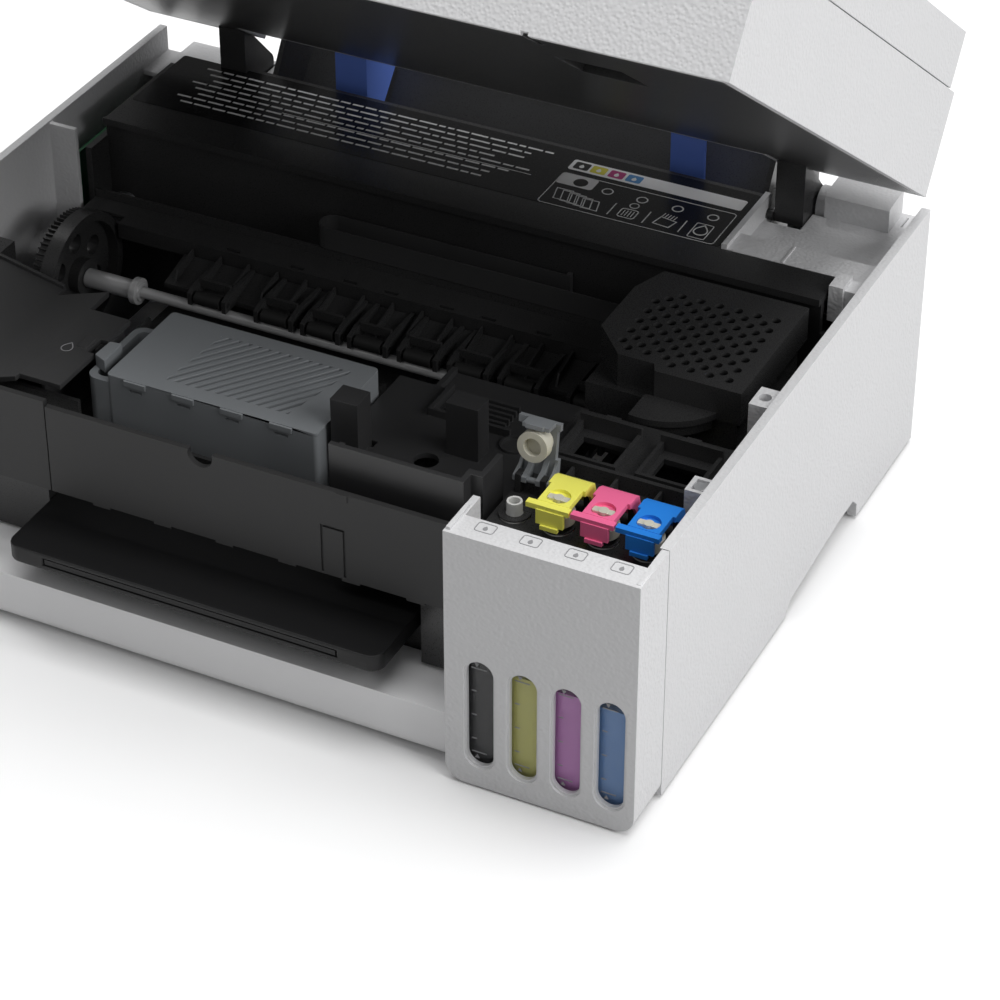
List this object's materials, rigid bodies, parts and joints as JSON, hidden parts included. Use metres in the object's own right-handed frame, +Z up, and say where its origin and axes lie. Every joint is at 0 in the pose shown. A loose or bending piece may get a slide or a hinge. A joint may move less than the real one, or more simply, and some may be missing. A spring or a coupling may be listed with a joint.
{
  "type": "inkjet printer",
  "caption": "Desktop ink-tank inkjet printer with its scanner lid raised, showing the print carriage, paper rollers, maintenance box and coloured ink filler caps.",
  "frame": {"origin": "middle of the overall box, on the floor under the feet, with the scanner lid raised as at rest", "axes": "+X to the printer's right as its user faces it from the front (the ink tank side), +Y to the back, +Z up"},
  "size_m": [0.375, 0.347, 0.3451],
  "materials": {
    "white_plastic": "fine leather-textured white plastic",
    "black_plastic": "satin black plastic",
    "dark_plastic": "satin charcoal plastic",
    "gloss_black": "polished black plastic",
    "grey_plastic": "satin slate grey plastic",
    "yellow_plastic": "satin yellow plastic",
    "magenta_plastic": "satin magenta plastic",
    "cyan_plastic": "satin blue plastic",
    "pale_plastic": "pale grey plastic",
    "cream_rubber": "soft cream elastomer",
    "blue_plastic": "satin blue plastic",
    "steel": "plain bright steel",
    "black_rubber": "matt black rubber",
    "clear_plastic": "clear moulded plastic",
    "scan_glass": "clear float glass",
    "board_green": "green circuit board laminate",
    "cable_film": "flat film cable"
  },
  "bodies": {
    "printer": {"base_pan": "white_plastic", "left_cover": "white_plastic", "right_cover": "white_plastic", "rear_cover": "white_plastic", "tank_cover": "white_plastic", "inner_frame": "black_plastic", "front_panel": "dark_plastic", "service_cover": "dark_plastic", "station_tray": "black_plastic", "platen": "black_plastic", "guide_rail": "black_plastic", "paper_guide": "black_plastic", "tank_deck": "black_plastic", "ink_tanks": "clear_plastic", "filler_nozzles": "pale_plastic", "feet": "black_rubber", "screws": "steel", "main_board": "board_green", "power_unit": "dark_plastic", "carriage_motor": "steel", "feed_motor": "steel", "cap_station": "black_plastic", "feeder_housing": "black_plastic", "timing_belt": "black_rubber", "ribbon_cable": "cable_film"},
    "carriage": {"carriage_body": "black_plastic", "carriage_cover": "black_plastic", "print_head": "dark_plastic"},
    "drive_pulley": {"drive_pulley": "steel"},
    "idler_pulley": {"idler_pulley": "grey_plastic"},
    "feed_shaft": {"feed_roller": "black_rubber", "feed_gear": "black_plastic"},
    "pinion": {"motor_pinion": "steel"},
    "pinch_rollers": {"pinch_rollers": "black_rubber"},
    "eject_roller": {"eject_roller": "black_rubber"},
    "pickup_roller": {"pickup_roller": "black_rubber"},
    "guide_left": {"edge_guide_left": "blue_plastic"},
    "guide_right": {"edge_guide_right": "blue_plastic"},
    "output_tray": {"output_tray": "black_plastic"},
    "tray_extension": {"tray_extension": "dark_plastic"},
    "maintenance_box": {"maintenance_box": "grey_plastic", "box_lid": "grey_plastic"},
    "ink_cap_black": {"cap_black": "grey_plastic", "stopper_black": "cream_rubber"},
    "ink_cap_yellow": {"cap_yellow": "yellow_plastic", "stopper_yellow": "cream_rubber"},
    "ink_cap_magenta": {"cap_magenta": "magenta_plastic", "stopper_magenta": "cream_rubber"},
    "ink_cap_cyan": {"cap_cyan": "cyan_plastic", "stopper_cyan": "cream_rubber"},
    "scanner": {"hinge_arms": "black_plastic", "scanner_tray": "black_plastic", "scanner_base": "white_plastic", "scanner_glass": "scan_glass", "control_panel": "gloss_black"},
    "document_cover": {"document_cover": "white_plastic"},
    "image_sensor": {"cis_bar": "dark_plastic"},
    "power_button": {"power_button": "dark_plastic"},
    "start_button": {"start_button": "dark_plastic"},
    "stop_button": {"stop_button": "dark_plastic"}
  },
  "joints": [
    {"name": "carriage_slide", "type": "slide", "parent": "printer", "child": "carriage", "axis": [1, 0, 0], "range_m": [-0.22, 0], "deforming": ["ribbon_cable"]},
    {"name": "drive_pulley_spin", "type": "hinge", "parent": "printer", "child": "drive_pulley", "pos_m": [-0.16, 0.0315, 0.071], "axis": [0, 1, 0], "continuous": true},
    {"name": "idler_pulley_spin", "type": "hinge", "parent": "printer", "child": "idler_pulley", "pos_m": [0.169, 0.0315, 0.071], "axis": [0, 1, 0], "continuous": true},
    {"name": "feed_spin", "type": "hinge", "parent": "printer", "child": "feed_shaft", "pos_m": [0, -0.0125, 0.0648], "axis": [1, 0, 0], "continuous": true},
    {"name": "pinion_spin", "type": "hinge", "parent": "printer", "child": "pinion", "pos_m": [-0.157, -0.03812, 0.04686], "axis": [1, 0, 0], "continuous": true},
    {"name": "pinch_spin", "type": "hinge", "parent": "printer", "child": "pinch_rollers", "pos_m": [0, -0.0135, 0.0707], "axis": [1, 0, 0], "continuous": true},
    {"name": "eject_spin", "type": "hinge", "parent": "printer", "child": "eject_roller", "pos_m": [0, -0.0555, 0.058], "axis": [1, 0, 0], "continuous": true},
    {"name": "pickup_spin", "type": "hinge", "parent": "printer", "child": "pickup_roller", "pos_m": [0, 0.1015, 0.08], "axis": [1, 0, 0], "continuous": true},
    {"name": "guide_right_slide", "type": "slide", "parent": "printer", "child": "guide_right", "axis": [1, 0, 0], "range_m": [-0.045, 0.022]},
    {"name": "guide_left_slide", "type": "slide", "parent": "printer", "child": "guide_left", "axis": [1, 0, 0], "range_m": [-0.022, 0.045]},
    {"name": "tray_slide", "type": "slide", "parent": "printer", "child": "output_tray", "axis": [0, -1, 0], "range_m": [0, 0.08]},
    {"name": "extension_slide", "type": "slide", "parent": "output_tray", "child": "tray_extension", "axis": [0, -1, 0], "range_m": [0, 0.07]},
    {"name": "maintenance_box_lift", "type": "slide", "parent": "printer", "child": "maintenance_box", "axis": [0, 0, -1], "range_m": [-0.06, 0]},
    {"name": "ink_cap_black_hinge", "type": "hinge", "parent": "printer", "child": "ink_cap_black", "pos_m": [0.1166, -0.1155, 0.105], "axis": [1, 0, 0], "range_deg": [0, 98]},
    {"name": "ink_cap_yellow_hinge", "type": "hinge", "parent": "printer", "child": "ink_cap_yellow", "pos_m": [0.13485, -0.1155, 0.105], "axis": [1, 0, 0], "range_deg": [-98, 0]},
    {"name": "ink_cap_magenta_hinge", "type": "hinge", "parent": "printer", "child": "ink_cap_magenta", "pos_m": [0.1531, -0.1155, 0.105], "axis": [1, 0, 0], "range_deg": [-98, 0]},
    {"name": "ink_cap_cyan_hinge", "type": "hinge", "parent": "printer", "child": "ink_cap_cyan", "pos_m": [0.17135, -0.1155, 0.105], "axis": [1, 0, 0], "range_deg": [-98, 0]},
    {"name": "scanner_tilt", "type": "hinge", "parent": "printer", "child": "scanner", "pos_m": [0, 0.1215, 0.1075], "axis": [1, 0, 0], "range_deg": [0, 36]},
    {"name": "cover_tilt", "type": "hinge", "parent": "scanner", "child": "document_cover", "pos_m": [0, 0.13216, 0.16811], "axis": [1, 0, 0], "range_deg": [-80, 0]},
    {"name": "sensor_slide", "type": "slide", "parent": "scanner", "child": "image_sensor", "axis": [1, 0, 0], "range_m": [0, 0.28]},
    {"name": "power_press", "type": "slide", "parent": "scanner", "child": "power_button", "axis": [0, 0.809, -0.5878], "range_m": [0, 0.0008], "stiffness_N_per_m": 150, "springref_m": -0.002},
    {"name": "start_press", "type": "slide", "parent": "scanner", "child": "start_button", "axis": [0, 0.809, -0.5878], "range_m": [0, 0.0008], "stiffness_N_per_m": 150, "springref_m": -0.002},
    {"name": "stop_press", "type": "slide", "parent": "scanner", "child": "stop_button", "axis": [0, 0.809, -0.5878], "range_m": [0, 0.0008], "stiffness_N_per_m": 150, "springref_m": -0.002}
  ],
  "couplings": [
    {"joint": "drive_pulley_spin", "follows": "carriage_slide", "rad_per_m": 169.49},
    {"joint": "idler_pulley_spin", "follows": "carriage_slide", "rad_per_m": 169.49},
    {"joint": "pinion_spin", "follows": "feed_spin", "ratio": -8},
    {"joint": "pinch_spin", "follows": "feed_spin", "ratio": -0.83333},
    {"joint": "eject_spin", "follows": "feed_spin", "ratio": 0.54348},
    {"joint": "pickup_spin", "follows": "feed_spin", "ratio": -0.19841},
    {"joint": "guide_left_slide", "follows": "guide_right_slide", "ratio": -1}
  ]
}
